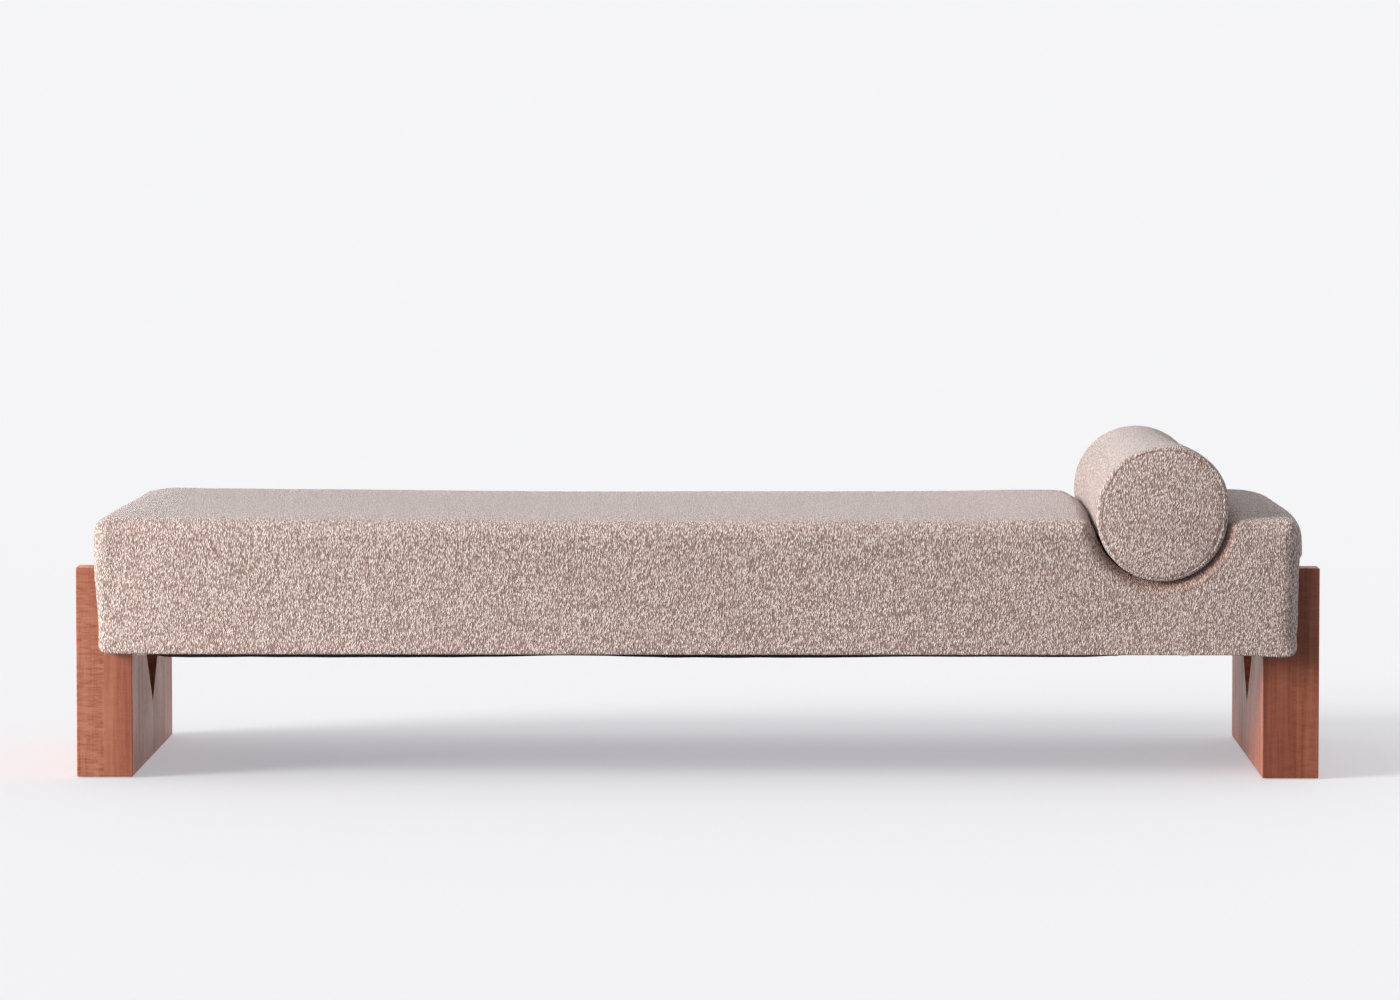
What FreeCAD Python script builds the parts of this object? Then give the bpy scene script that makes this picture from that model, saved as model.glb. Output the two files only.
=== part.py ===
import FreeCAD, Part
import math
import os

from FreeCAD import Vector

# A low upholstered daybed: a long boucle seat held between two end legs of edge-glued hardwood,
# each cut with a V-notch, and a loose bolster lying in a half-round saddle in the seat.
#
# Millimetres.  The origin is on the floor at the middle of the plan.  +X runs along the length
# towards the bolster, +Y from the front edge to the back edge, +Z up.

# ---- driving dimensions ----

OVERALL_LENGTH = 2032.0

# end legs
LEG_DEPTH = 660.0
OUTER_BOARD_THICKNESS = 45.0
INNER_BOARD_THICKNESS = 47.0
OUTER_BOARD_TOP = 346.0
SEAT_BOTTOM = 205.0                 # also the top of the inner boards
NOTCH_APEX = 94.0
NOTCH_TOP_HALF_WIDTH = 280.0
STAVES_PER_BOARD = 4
WOOD_EDGE_RADIUS = 2.0

# glides under the legs
GLIDE_RADIUS = 11.0
GLIDE_THICKNESS = 5.0
GLIDE_PROUD = 1.5
GLIDE_FROM_END = 30.0

# bolts that hold the seat down on the inner boards
BOLT_FROM_INNER_FACE = 20.0
BOLT_SPACING = 450.0
BOLT_RADIUS = 4.0
BOLT_LENGTH = 60.0
BOLT_HEAD_ACROSS_FLATS = 13.0
BOLT_HEAD_HEIGHT = 5.3
WASHER_RADIUS = 8.0
WASHER_THICKNESS = 1.6
COUNTERBORE_RADIUS = 9.2
COUNTERBORE_TOP = 163.6
INSERT_RADIUS = 6.0
INSERT_LENGTH = 20.0
FASTENER_PLAY = 0.1

# upholstered seat
SEAT_DEPTH = 762.0
SEAT_TOP = 433.0
SEAT_BULGE_HALF_LENGTH = 984.0      # where the seat swells past the inner faces of the walls
SEAT_BOTTOM_HALF_LENGTH = 965.0
SEAT_BULGE_LOW = 300.0              # height where the ends reach their full bulge
SEAT_TOP_CORNER_RADIUS = 36.0
SEAT_BOTTOM_CORNER_RADIUS = 8.0
SEAT_EDGE_RADIUS = 24.0             # along the front and back outlines
WALL_PLAY = 0.4
COVER_THICKNESS = 4.0
LAYER_PLAY = 0.3
COVER_TURN_UNDER = 48.0

# saddle for the bolster
SADDLE_X = 756.0
SADDLE_AXIS_HEIGHT = 434.0
SADDLE_PLAY = 0.5
SADDLE_LIP_RADIUS = 18.0

# seat frame
FRAME_HALF_LENGTH = 956.0
FRAME_HALF_DEPTH = 356.0
FRAME_TOP = 290.0
LONG_RAIL_THICKNESS = 24.0
END_RAIL_THICKNESS = 55.0
CROSS_RAIL_THICKNESS = 24.0
CROSS_RAIL_HEIGHT = 60.0
CROSS_RAIL_PLACES = (-600.0, -200.0, 200.0, 600.0)
CORNER_BLOCK_SIDE = 60.0
CORNER_BLOCK_HEIGHT = 70.0
DOWEL_RADIUS = 5.0
DOWEL_LENGTH = 56.0
DOWEL_IN_LONG_RAIL = 18.0
DOWEL_PITCH = 32.0
DECK_THICKNESS = 12.0
DECK_INSET = 2.0

# dust cover
DUST_HALF_LENGTH = 921.0
DUST_HALF_DEPTH = 352.0
DUST_THICKNESS = 1.2
STAPLE_CROWN = 11.0
STAPLE_WIRE = 0.9
STAPLE_INSET = 12.0
STAPLE_PITCH = 111.0

# bolster
BOLSTER_RADIUS = 107.0
BOLSTER_LENGTH = 770.0
BOLSTER_DOME = 9.0
BOLSTER_RIM_RADIUS = 10.0
BOLSTER_CORE_RADIUS = 84.0

# zip in the underside of the bolster
ZIP_LENGTH = 520.0
ZIP_WIDTH = 24.0
ZIP_TAPE_THICKNESS = 1.0
ZIP_COIL_WIDTH = 4.0
ZIP_COIL_HEIGHT = 0.9
ZIP_SLIDER_LENGTH = 14.0
ZIP_SLIDER_WIDTH = 9.0
ZIP_SLIDER_WALL = 1.0
ZIP_PULL_LENGTH = 22.0
ZIP_PULL_WIDTH = 6.0
ZIP_END_MARGIN = 3.0
ZIP_PLAY = 0.3

# ---- worked-out places ----

HALF_LENGTH = OVERALL_LENGTH / 2
LEG_HALF_DEPTH = LEG_DEPTH / 2
OUTER_BOARD_INNER_FACE = HALF_LENGTH - OUTER_BOARD_THICKNESS
INNER_BOARD_INNER_FACE = OUTER_BOARD_INNER_FACE - INNER_BOARD_THICKNESS
WOOD_BOTTOM = GLIDE_PROUD
STAVE_WIDTH = LEG_DEPTH / STAVES_PER_BOARD
NOTCH_SLOPE = (OUTER_BOARD_TOP - NOTCH_APEX) / NOTCH_TOP_HALF_WIDTH
BOLT_X = INNER_BOARD_INNER_FACE + BOLT_FROM_INNER_FACE
GLIDE_Y = LEG_HALF_DEPTH - GLIDE_FROM_END
SEAT_HALF_DEPTH = SEAT_DEPTH / 2
SADDLE_RADIUS = BOLSTER_RADIUS + SADDLE_PLAY
FRAME_BOTTOM = SEAT_BOTTOM + COVER_THICKNESS
DECK_TOP = FRAME_TOP + DECK_THICKNESS
LONG_RAIL_INNER_FACE = FRAME_HALF_DEPTH - LONG_RAIL_THICKNESS
END_RAIL_INNER_FACE = FRAME_HALF_LENGTH - END_RAIL_THICKNESS
SLEEVE_INNER_RADIUS = BOLSTER_RADIUS - COVER_THICKNESS
BOLSTER_SEAM_RADIUS = BOLSTER_RADIUS - BOLSTER_RIM_RADIUS
BOLSTER_RIM_Y = BOLSTER_LENGTH / 2 - BOLSTER_DOME
SIDES = (("left", -1), ("right", 1))
FAR = 3000.0


# ---- helpers ----

def save(node, shape):
    """Write one sub-part to its own STEP file."""
    shape.exportStep(f"parts/{node}.step")


def block(low, high):
    """A box from its lowest to its highest corner."""
    size = [b - a for a, b in zip(low, high)]
    return Part.makeBox(*size, Vector(*low))


def mirrored_block(side, near_x, far_x, low_yz, high_yz):
    """A box whose X range is measured outwards from the middle, on the left or the right."""
    x_range = sorted((side * near_x, side * far_x))
    return block((x_range[0], *low_yz), (x_range[1], *high_yz))


def post(radius, x, y, bottom, top):
    """A vertical cylinder."""
    return Part.makeCylinder(radius, top - bottom, Vector(x, y, bottom))


def polygon_face(points):
    return Part.Face(Part.makePolygon([*points, points[0]]))


def segment(a, b):
    return Part.LineSegment(Vector(*a), Vector(*b)).toShape()


def arc(a, middle, b):
    return Part.Arc(Vector(*a), Vector(*middle), Vector(*b)).toShape()


def corner_arc(corner, toward_a, toward_b, radius):
    """The two ends and the middle of a round corner in the XZ plane, as (x, z) pairs."""
    ax, az = toward_a[0] - corner[0], toward_a[1] - corner[1]
    bx, bz = toward_b[0] - corner[0], toward_b[1] - corner[1]
    a_len, b_len = math.hypot(ax, az), math.hypot(bx, bz)
    ua, ub = (ax / a_len, az / a_len), (bx / b_len, bz / b_len)
    half_angle = math.acos(ua[0] * ub[0] + ua[1] * ub[1]) / 2
    reach = radius / math.tan(half_angle)
    to_centre = radius / math.sin(half_angle)
    mx, mz = ua[0] + ub[0], ua[1] + ub[1]
    m_len = math.hypot(mx, mz)
    to_arc = to_centre - radius
    start = (corner[0] + ua[0] * reach, corner[1] + ua[1] * reach)
    middle = (corner[0] + mx / m_len * to_arc, corner[1] + mz / m_len * to_arc)
    end = (corner[0] + ub[0] * reach, corner[1] + ub[1] * reach)
    return start, middle, end


def group(shapes):
    return Part.makeCompound(list(shapes))


# ---- end legs ----

def leg_blank(side):
    """The whole L-shaped leg with its V-notch and eased edges, before it is split into staves."""
    outline = [
        (INNER_BOARD_INNER_FACE, WOOD_BOTTOM),
        (HALF_LENGTH, WOOD_BOTTOM),
        (HALF_LENGTH, OUTER_BOARD_TOP),
        (OUTER_BOARD_INNER_FACE, OUTER_BOARD_TOP),
        (OUTER_BOARD_INNER_FACE, SEAT_BOTTOM),
        (INNER_BOARD_INNER_FACE, SEAT_BOTTOM),
    ]
    face = polygon_face([Vector(side * x, -LEG_HALF_DEPTH, z) for x, z in outline])
    leg = face.extrude(Vector(0, LEG_DEPTH, 0))
    overshoot = 40.0
    notch_half_width = NOTCH_TOP_HALF_WIDTH + overshoot / NOTCH_SLOPE
    notch = polygon_face([
        Vector(-FAR, 0, NOTCH_APEX),
        Vector(-FAR, notch_half_width, OUTER_BOARD_TOP + overshoot),
        Vector(-FAR, -notch_half_width, OUTER_BOARD_TOP + overshoot),
    ]).extrude(Vector(2 * FAR, 0, 0))
    leg = leg.cut(notch).removeSplitter()
    return leg.makeFillet(WOOD_EDGE_RADIUS, [e for e in leg.Edges if is_eased(e)])


def is_eased(edge):
    """Every edge is eased but the glued inner corner and the root of the notch."""
    centre = edge.CenterOfMass
    at_inner_corner = (
        abs(abs(centre.x) - OUTER_BOARD_INNER_FACE) < 0.1 and abs(centre.z - SEAT_BOTTOM) < 0.1
    )
    at_notch_root = abs(centre.y) < 0.1 and abs(centre.z - NOTCH_APEX) < 0.1
    meets_inner_board = (
        abs(abs(centre.x) - OUTER_BOARD_INNER_FACE) < 0.1 and centre.z < SEAT_BOTTOM
    )
    return not (at_inner_corner or at_notch_root or meets_inner_board)


def bolt_places(side):
    return [(side * BOLT_X, y) for y in (-BOLT_SPACING / 2, BOLT_SPACING / 2)]


def glide_places(side):
    inner_board_middle = (INNER_BOARD_INNER_FACE + OUTER_BOARD_INNER_FACE) / 2
    outer_board_middle = (OUTER_BOARD_INNER_FACE + HALF_LENGTH) / 2
    return [
        (side * x, y)
        for x in (inner_board_middle, outer_board_middle)
        for y in (-GLIDE_Y, GLIDE_Y)
    ]


def make_leg(name, side):
    leg = leg_blank(side)
    for x, y in glide_places(side):
        leg = leg.cut(post(GLIDE_RADIUS + FASTENER_PLAY, x, y, 0, GLIDE_THICKNESS + FASTENER_PLAY))
    for x, y in bolt_places(side):
        leg = leg.cut(post(COUNTERBORE_RADIUS, x, y, 0, COUNTERBORE_TOP))
        leg = leg.cut(post(BOLT_RADIUS + 4 * FASTENER_PLAY, x, y, 0, SEAT_BOTTOM + 1))

    boards = {
        "inner": (0, OUTER_BOARD_INNER_FACE),
        "outer": (OUTER_BOARD_INNER_FACE, FAR),
    }
    for board, (near_x, far_x) in boards.items():
        for i in range(STAVES_PER_BOARD):
            front = -LEG_HALF_DEPTH + i * STAVE_WIDTH
            cutter = mirrored_block(side, near_x, far_x, (front, 0), (front + STAVE_WIDTH, FAR))
            save(f"{name}_leg_{board}_stave_{i + 1}", leg.common(cutter).Solids[0])


def make_leg_hardware(name, side):
    glides = [post(GLIDE_RADIUS, x, y, 0, GLIDE_THICKNESS) for x, y in glide_places(side)]
    save(f"{name}_leg_glides", group(glides))

    bolts, washers, inserts = [], [], []
    washer_bottom = COUNTERBORE_TOP - WASHER_THICKNESS
    head_bottom = washer_bottom - BOLT_HEAD_HEIGHT
    for x, y in bolt_places(side):
        corner_radius = BOLT_HEAD_ACROSS_FLATS / math.sqrt(3)
        corners = [
            Vector(x + corner_radius * math.cos(a), y + corner_radius * math.sin(a), head_bottom)
            for a in [i * math.pi / 3 for i in range(6)]
        ]
        head = polygon_face(corners).extrude(Vector(0, 0, BOLT_HEAD_HEIGHT))
        shank = post(BOLT_RADIUS, x, y, washer_bottom, washer_bottom + BOLT_LENGTH)
        bolts.append(head.fuse(shank).removeSplitter())

        bore = post(BOLT_RADIUS + FASTENER_PLAY, x, y, 0, FAR)
        washers.append(post(WASHER_RADIUS, x, y, washer_bottom, COUNTERBORE_TOP).cut(bore))
        insert = post(INSERT_RADIUS, x, y, FRAME_BOTTOM, FRAME_BOTTOM + INSERT_LENGTH)
        inserts.append(insert.cut(bore))
    save(f"{name}_leg_bolts", group(bolts))
    save(f"{name}_leg_washers", group(washers))
    save(f"{name}_seat_inserts", group(inserts))


# ---- seat frame ----

def dowel_places():
    """Each rail's middle in X, and the heights of its two dowels, for all rails that run front to back."""
    end_rail_middle = (END_RAIL_INNER_FACE + FRAME_HALF_LENGTH) / 2
    heights = [FRAME_TOP - CROSS_RAIL_HEIGHT / 2 + s * DOWEL_PITCH / 2 for s in (-1, 1)]
    rails = (-end_rail_middle, *CROSS_RAIL_PLACES, end_rail_middle)
    return [(x, z) for x in rails for z in heights]


def dowel_set(radius, lengthen=0.0):
    """All the dowels, or the holes that they sit in, front and back."""
    dowels = []
    for x, z in dowel_places():
        for y_side in (-1, 1):
            joint_y = y_side * LONG_RAIL_INNER_FACE
            outer = joint_y + y_side * (DOWEL_IN_LONG_RAIL + lengthen)
            inner = joint_y - y_side * (DOWEL_LENGTH - DOWEL_IN_LONG_RAIL + lengthen)
            start = Vector(x, min(outer, inner), z)
            dowels.append(Part.makeCylinder(radius, abs(outer - inner), start, Vector(0, 1, 0)))
    return dowels


def make_seat_frame():
    dowel_holes = group(dowel_set(DOWEL_RADIUS + FASTENER_PLAY, lengthen=1.0))

    for name, y_side in (("front", -1), ("back", 1)):
        y_range = sorted((y_side * LONG_RAIL_INNER_FACE, y_side * FRAME_HALF_DEPTH))
        rail = block(
            (-FRAME_HALF_LENGTH, y_range[0], FRAME_BOTTOM),
            (FRAME_HALF_LENGTH, y_range[1], FRAME_TOP),
        )
        save(f"seat_frame_{name}_rail", rail.cut(dowel_holes))

    for name, side in SIDES:
        rail = mirrored_block(
            side, END_RAIL_INNER_FACE, FRAME_HALF_LENGTH,
            (-LONG_RAIL_INNER_FACE, FRAME_BOTTOM), (LONG_RAIL_INNER_FACE, FRAME_TOP),
        )
        rail = rail.cut(dowel_holes)
        for x, y in bolt_places(side):
            rail = rail.cut(post(INSERT_RADIUS + FASTENER_PLAY, x, y, 0, FRAME_BOTTOM + INSERT_LENGTH))
        save(f"seat_frame_{name}_end_rail", rail)

    for i, x in enumerate(CROSS_RAIL_PLACES, start=1):
        rail = block(
            (x - CROSS_RAIL_THICKNESS / 2, -LONG_RAIL_INNER_FACE, FRAME_TOP - CROSS_RAIL_HEIGHT),
            (x + CROSS_RAIL_THICKNESS / 2, LONG_RAIL_INNER_FACE, FRAME_TOP),
        )
        save(f"seat_frame_cross_rail_{i}", rail.cut(dowel_holes))

    save("seat_frame_dowels", group(dowel_set(DOWEL_RADIUS)))

    corner_blocks = []
    for x_side in (-1, 1):
        for y_side in (-1, 1):
            x, y = x_side * END_RAIL_INNER_FACE, y_side * LONG_RAIL_INNER_FACE
            top = FRAME_TOP
            corner_blocks.append(polygon_face([
                Vector(x, y, top),
                Vector(x - x_side * CORNER_BLOCK_SIDE, y, top),
                Vector(x, y - y_side * CORNER_BLOCK_SIDE, top),
            ]).extrude(Vector(0, 0, -CORNER_BLOCK_HEIGHT)))
    save("seat_frame_corner_blocks", group(corner_blocks))

    deck_x, deck_y = FRAME_HALF_LENGTH - DECK_INSET, FRAME_HALF_DEPTH - DECK_INSET
    save("deck_panel", block((-deck_x, -deck_y, FRAME_TOP), (deck_x, deck_y, DECK_TOP)))


# ---- upholstered seat ----

def seat_profile(inset):
    """The seat's front outline with the saddle, moved in by inset everywhere, as a wire."""
    bottom = SEAT_BOTTOM + inset
    top = SEAT_TOP - inset
    bulge = SEAT_BULGE_HALF_LENGTH - inset
    low_bulge = SEAT_BOTTOM_HALF_LENGTH - inset
    saddle_radius = SADDLE_RADIUS + inset
    lip_radius = SADDLE_LIP_RADIUS - inset
    y = -(SEAT_HALF_DEPTH - inset)

    lip_centre_z = top - lip_radius
    drop = SADDLE_AXIS_HEIGHT - lip_centre_z
    lip_centre_dx = math.sqrt((saddle_radius + lip_radius) ** 2 - drop ** 2)
    share = saddle_radius / (saddle_radius + lip_radius)
    lip_angle = math.atan2(drop, lip_centre_dx)

    def lip(side):
        """From the flat top round the lip into the saddle."""
        centre_x = SADDLE_X + side * lip_centre_dx
        turn = math.pi / 2 + (math.pi / 2 - lip_angle) / 2
        return (
            (centre_x, top),
            (centre_x + side * lip_radius * math.cos(turn), lip_centre_z + lip_radius * math.sin(turn)),
            (SADDLE_X + side * lip_centre_dx * share, SADDLE_AXIS_HEIGHT - drop * share),
        )

    left_lip, right_lip = lip(-1), lip(1)
    saddle_bottom = (SADDLE_X, SADDLE_AXIS_HEIGHT - saddle_radius)

    def end_corners(side):
        """The round corners of one end, from the bottom up."""
        foot = (side * low_bulge, bottom)
        shoulder = (side * bulge, SEAT_BULGE_LOW)
        head = (side * bulge, top)
        middle_top = (0, top)
        middle_bottom = (0, bottom)
        return (
            corner_arc(foot, middle_bottom, shoulder, SEAT_BOTTOM_CORNER_RADIUS - inset),
            corner_arc(shoulder, foot, head, 8 * SEAT_TOP_CORNER_RADIUS),
            corner_arc(head, shoulder, middle_top, SEAT_TOP_CORNER_RADIUS - inset),
        )

    right = end_corners(1)
    left = [corner[::-1] for corner in reversed(end_corners(-1))]
    arcs = [*right, right_lip, (right_lip[2], saddle_bottom, left_lip[2]), left_lip[::-1], *left]

    edges = []
    previous = arcs[-1][2]
    for start, middle, end in arcs:
        if math.dist(previous, start) > 0.001:
            edges.append(segment((previous[0], y, previous[1]), (start[0], y, start[1])))
        edges.append(arc((start[0], y, start[1]), (middle[0], y, middle[1]), (end[0], y, end[1])))
        previous = end
    return Part.Wire(edges)


def seat_body(inset):
    """The seat's solid shape, moved in by inset, with room for the walls at both ends."""
    depth = 2 * (SEAT_HALF_DEPTH - inset)
    body = Part.Face(seat_profile(inset)).extrude(Vector(0, depth, 0))
    outline_edges = [
        e for e in body.Edges
        if abs(abs(e.CenterOfMass.y) - depth / 2) < 0.01
    ]
    body = body.makeFillet(SEAT_EDGE_RADIUS - inset, outline_edges)
    play = WALL_PLAY + inset
    for _, side in SIDES:
        body = body.cut(mirrored_block(
            side, OUTER_BOARD_INNER_FACE - play, FAR,
            (-LEG_HALF_DEPTH - play, 0), (LEG_HALF_DEPTH + play, OUTER_BOARD_TOP + play),
        ))
    return body


def make_upholstery():
    inside = seat_body(COVER_THICKNESS)
    cover = seat_body(0).cut(inside)
    turn_under_x = SEAT_BOTTOM_HALF_LENGTH - COVER_TURN_UNDER
    turn_under_y = SEAT_HALF_DEPTH - COVER_TURN_UNDER
    cover = cover.cut(block(
        (-turn_under_x, -turn_under_y, 0), (turn_under_x, turn_under_y, FRAME_BOTTOM + 1),
    ))
    for _, side in SIDES:
        for x, y in bolt_places(side):
            cover = cover.cut(post(BOLT_RADIUS + 4 * FASTENER_PLAY, x, y, 0, FRAME_BOTTOM + 1))
    save("seat_cover", cover)

    filling = seat_body(COVER_THICKNESS + LAYER_PLAY)
    above_deck = block((-FAR, -FAR, DECK_TOP), (FAR, FAR, FAR))
    save("seat_foam", filling.common(above_deck))

    beside_frame = filling.common(block((-FAR, -FAR, FRAME_BOTTOM), (FAR, FAR, DECK_TOP)))
    for name, y_side in (("front", -1), ("back", 1)):
        y_range = sorted((y_side * FRAME_HALF_DEPTH, y_side * FAR))
        strip = block((-FRAME_HALF_LENGTH, y_range[0], 0), (FRAME_HALF_LENGTH, y_range[1], FAR))
        save(f"{name}_padding", beside_frame.common(strip))
    for name, side in SIDES:
        strip = mirrored_block(side, FRAME_HALF_LENGTH, FAR, (-FAR, 0), (FAR, FAR))
        save(f"{name}_end_padding", beside_frame.common(strip))


# ---- dust cover ----

def make_dust_cover():
    top = SEAT_BOTTOM
    bottom = top - DUST_THICKNESS
    save("dust_cover", block(
        (-DUST_HALF_LENGTH, -DUST_HALF_DEPTH, bottom), (DUST_HALF_LENGTH, DUST_HALF_DEPTH, top),
    ))

    def crown(x, y, along_x):
        half_x, half_y = (STAPLE_CROWN, STAPLE_WIRE) if along_x else (STAPLE_WIRE, STAPLE_CROWN)
        return block(
            (x - half_x / 2, y - half_y / 2, bottom - STAPLE_WIRE),
            (x + half_x / 2, y + half_y / 2, bottom),
        )

    row_x = DUST_HALF_LENGTH - STAPLE_INSET
    row_y = DUST_HALF_DEPTH - STAPLE_INSET
    along = round(2 * row_x / STAPLE_PITCH)
    across = round(2 * row_y / STAPLE_PITCH)
    staples = []
    for i in range(along + 1):
        x = -row_x + 2 * row_x * i / along
        staples += [crown(x, y, True) for y in (-row_y, row_y)]
    for i in range(1, across):
        y = -row_y + 2 * row_y * i / across
        staples += [crown(x, y, False) for x in (-row_x, row_x)]
    save("dust_cover_staples", group(staples))


# ---- bolster ----

def turned(edges):
    """A solid turned about the bolster's axis from a closed outline of (radius, y) edges."""
    face = Part.Face(Part.Wire(edges))
    solid = face.revolve(Vector(SADDLE_X, 0, SADDLE_AXIS_HEIGHT), Vector(0, 1, 0), 360)
    if solid.Volume < 0:
        solid.reverse()
    return solid


def at_radius(radius, y):
    """A point in the half-plane that the bolster's outlines are drawn in."""
    return (SADDLE_X + radius, y, SADDLE_AXIS_HEIGHT)


def rim(thickness_in, side):
    """The round rim between the sleeve and the end seam, as start, middle and end points."""
    centre_y = BOLSTER_RIM_Y - BOLSTER_RIM_RADIUS
    r = BOLSTER_RIM_RADIUS - thickness_in
    half = math.sqrt(0.5)
    return (
        at_radius(BOLSTER_SEAM_RADIUS + r, side * centre_y),
        at_radius(BOLSTER_SEAM_RADIUS + r * half, side * (centre_y + r * half)),
        at_radius(BOLSTER_SEAM_RADIUS, side * (centre_y + r)),
    )


def sleeve_outline(thickness_in):
    """One surface of the sleeve, from the back seam to the front seam."""
    back, front = rim(thickness_in, 1), rim(thickness_in, -1)
    return [arc(*back[::-1]), segment(back[0], front[0]), arc(*front)], back[2], front[2]


def dome_point(radius, thickness_in, side):
    """A point on the end panel's shallow dome, part of a sphere that meets the rim at the seam."""
    sphere_radius = (BOLSTER_SEAM_RADIUS ** 2 + BOLSTER_DOME ** 2) / (2 * BOLSTER_DOME)
    rise = math.sqrt(sphere_radius ** 2 - radius ** 2) - (sphere_radius - BOLSTER_DOME)
    return at_radius(radius, side * (BOLSTER_RIM_Y - thickness_in + rise))


def end_panel(side):
    half_seam = BOLSTER_SEAM_RADIUS / 2
    outer = [dome_point(r, 0, side) for r in (0, half_seam, BOLSTER_SEAM_RADIUS)]
    inner = [dome_point(r, COVER_THICKNESS, side) for r in (BOLSTER_SEAM_RADIUS, half_seam, 0)]
    return turned([
        arc(*outer), segment(outer[2], inner[0]), arc(*inner), segment(inner[2], outer[0]),
    ])


def make_bolster():
    outer, outer_back, outer_front = sleeve_outline(0)
    inner, inner_back, inner_front = sleeve_outline(COVER_THICKNESS)
    sleeve = turned([
        *outer, segment(outer_front, inner_front), *inner[::-1], segment(inner_back, outer_back),
    ])
    sleeve = sleeve.cut(block(
        (SADDLE_X - ZIP_WIDTH / 2 - ZIP_PLAY, -ZIP_LENGTH / 2 - ZIP_PLAY, 0),
        (SADDLE_X + ZIP_WIDTH / 2 + ZIP_PLAY, ZIP_LENGTH / 2 + ZIP_PLAY, SADDLE_AXIS_HEIGHT),
    ))
    save("bolster_cover_sleeve", sleeve)
    save("bolster_cover_front_end", end_panel(-1))
    save("bolster_cover_back_end", end_panel(1))

    wadding_radius = SLEEVE_INNER_RADIUS - LAYER_PLAY
    wadding_half = BOLSTER_RIM_Y - BOLSTER_RIM_RADIUS
    axis = Vector(0, 1, 0)

    def plug(radius, half_length):
        return Part.makeCylinder(
            radius, 2 * half_length, Vector(SADDLE_X, -half_length, SADDLE_AXIS_HEIGHT), axis,
        )

    core = plug(BOLSTER_CORE_RADIUS, wadding_half)
    save("bolster_core", core)
    save("bolster_wadding", plug(wadding_radius, wadding_half).cut(core))


def make_zip():
    tape_top = SADDLE_AXIS_HEIGHT - SLEEVE_INNER_RADIUS
    tape_bottom = tape_top - ZIP_TAPE_THICKNESS
    coil_bottom = tape_bottom - ZIP_COIL_HEIGHT
    tape = block(
        (SADDLE_X - ZIP_WIDTH / 2, -ZIP_LENGTH / 2, tape_bottom),
        (SADDLE_X + ZIP_WIDTH / 2, ZIP_LENGTH / 2, tape_top),
    )
    coil = block(
        (SADDLE_X - ZIP_COIL_WIDTH / 2, -ZIP_LENGTH / 2, coil_bottom),
        (SADDLE_X + ZIP_COIL_WIDTH / 2, ZIP_LENGTH / 2, tape_bottom),
    )
    save("bolster_zip_tape", tape.fuse(coil).removeSplitter())

    slider_y = -ZIP_LENGTH / 2 + ZIP_END_MARGIN + ZIP_SLIDER_LENGTH / 2
    slider_bottom = coil_bottom - ZIP_PLAY - ZIP_SLIDER_WALL
    slider_top = tape_bottom - ZIP_PLAY
    body = block(
        (SADDLE_X - ZIP_SLIDER_WIDTH / 2, slider_y - ZIP_SLIDER_LENGTH / 2, slider_bottom),
        (SADDLE_X + ZIP_SLIDER_WIDTH / 2, slider_y + ZIP_SLIDER_LENGTH / 2, slider_top),
    )
    channel_half = ZIP_COIL_WIDTH / 2 + ZIP_PLAY
    channel = block(
        (SADDLE_X - channel_half, slider_y - ZIP_SLIDER_LENGTH, slider_bottom + ZIP_SLIDER_WALL),
        (SADDLE_X + channel_half, slider_y + ZIP_SLIDER_LENGTH, slider_top + 1),
    )
    pull_start = slider_y + ZIP_SLIDER_LENGTH / 2
    pull = block(
        (SADDLE_X - ZIP_PULL_WIDTH / 2, pull_start, slider_bottom),
        (SADDLE_X + ZIP_PULL_WIDTH / 2, pull_start + ZIP_PULL_LENGTH, slider_bottom + ZIP_SLIDER_WALL),
    )
    save("bolster_zip_slider", body.cut(channel).fuse(pull).removeSplitter())


def main():
    os.makedirs("parts", exist_ok=True)
    for name, side in SIDES:
        make_leg(name, side)
        make_leg_hardware(name, side)
    make_seat_frame()
    make_upholstery()
    make_dust_cover()
    make_bolster()
    make_zip()


main()
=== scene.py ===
import math

import bmesh
import bpy
import numpy as np
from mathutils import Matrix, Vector, noise


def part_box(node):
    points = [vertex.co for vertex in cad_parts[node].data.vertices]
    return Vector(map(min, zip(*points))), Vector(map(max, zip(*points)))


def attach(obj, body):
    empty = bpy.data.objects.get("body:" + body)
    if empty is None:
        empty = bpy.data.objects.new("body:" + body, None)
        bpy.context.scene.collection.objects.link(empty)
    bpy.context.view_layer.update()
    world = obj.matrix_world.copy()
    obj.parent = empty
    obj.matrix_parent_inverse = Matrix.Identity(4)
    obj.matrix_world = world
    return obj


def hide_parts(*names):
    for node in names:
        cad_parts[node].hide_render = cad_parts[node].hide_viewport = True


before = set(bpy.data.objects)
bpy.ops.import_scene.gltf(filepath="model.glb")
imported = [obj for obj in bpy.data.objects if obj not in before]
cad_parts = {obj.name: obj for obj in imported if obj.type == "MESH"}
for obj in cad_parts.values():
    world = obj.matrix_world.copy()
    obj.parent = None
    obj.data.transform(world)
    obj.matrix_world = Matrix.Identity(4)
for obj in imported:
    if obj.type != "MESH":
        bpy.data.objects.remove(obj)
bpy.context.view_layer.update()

# ---- places read from the frame, in metres ----

SEAT_LOW, SEAT_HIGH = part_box("seat_cover")
SEAT_BOTTOM, SEAT_TOP = SEAT_LOW.z, SEAT_HIGH.z
SEAT_HALF_LENGTH = SEAT_HIGH.x
SEAT_HALF_DEPTH = SEAT_HIGH.y

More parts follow.
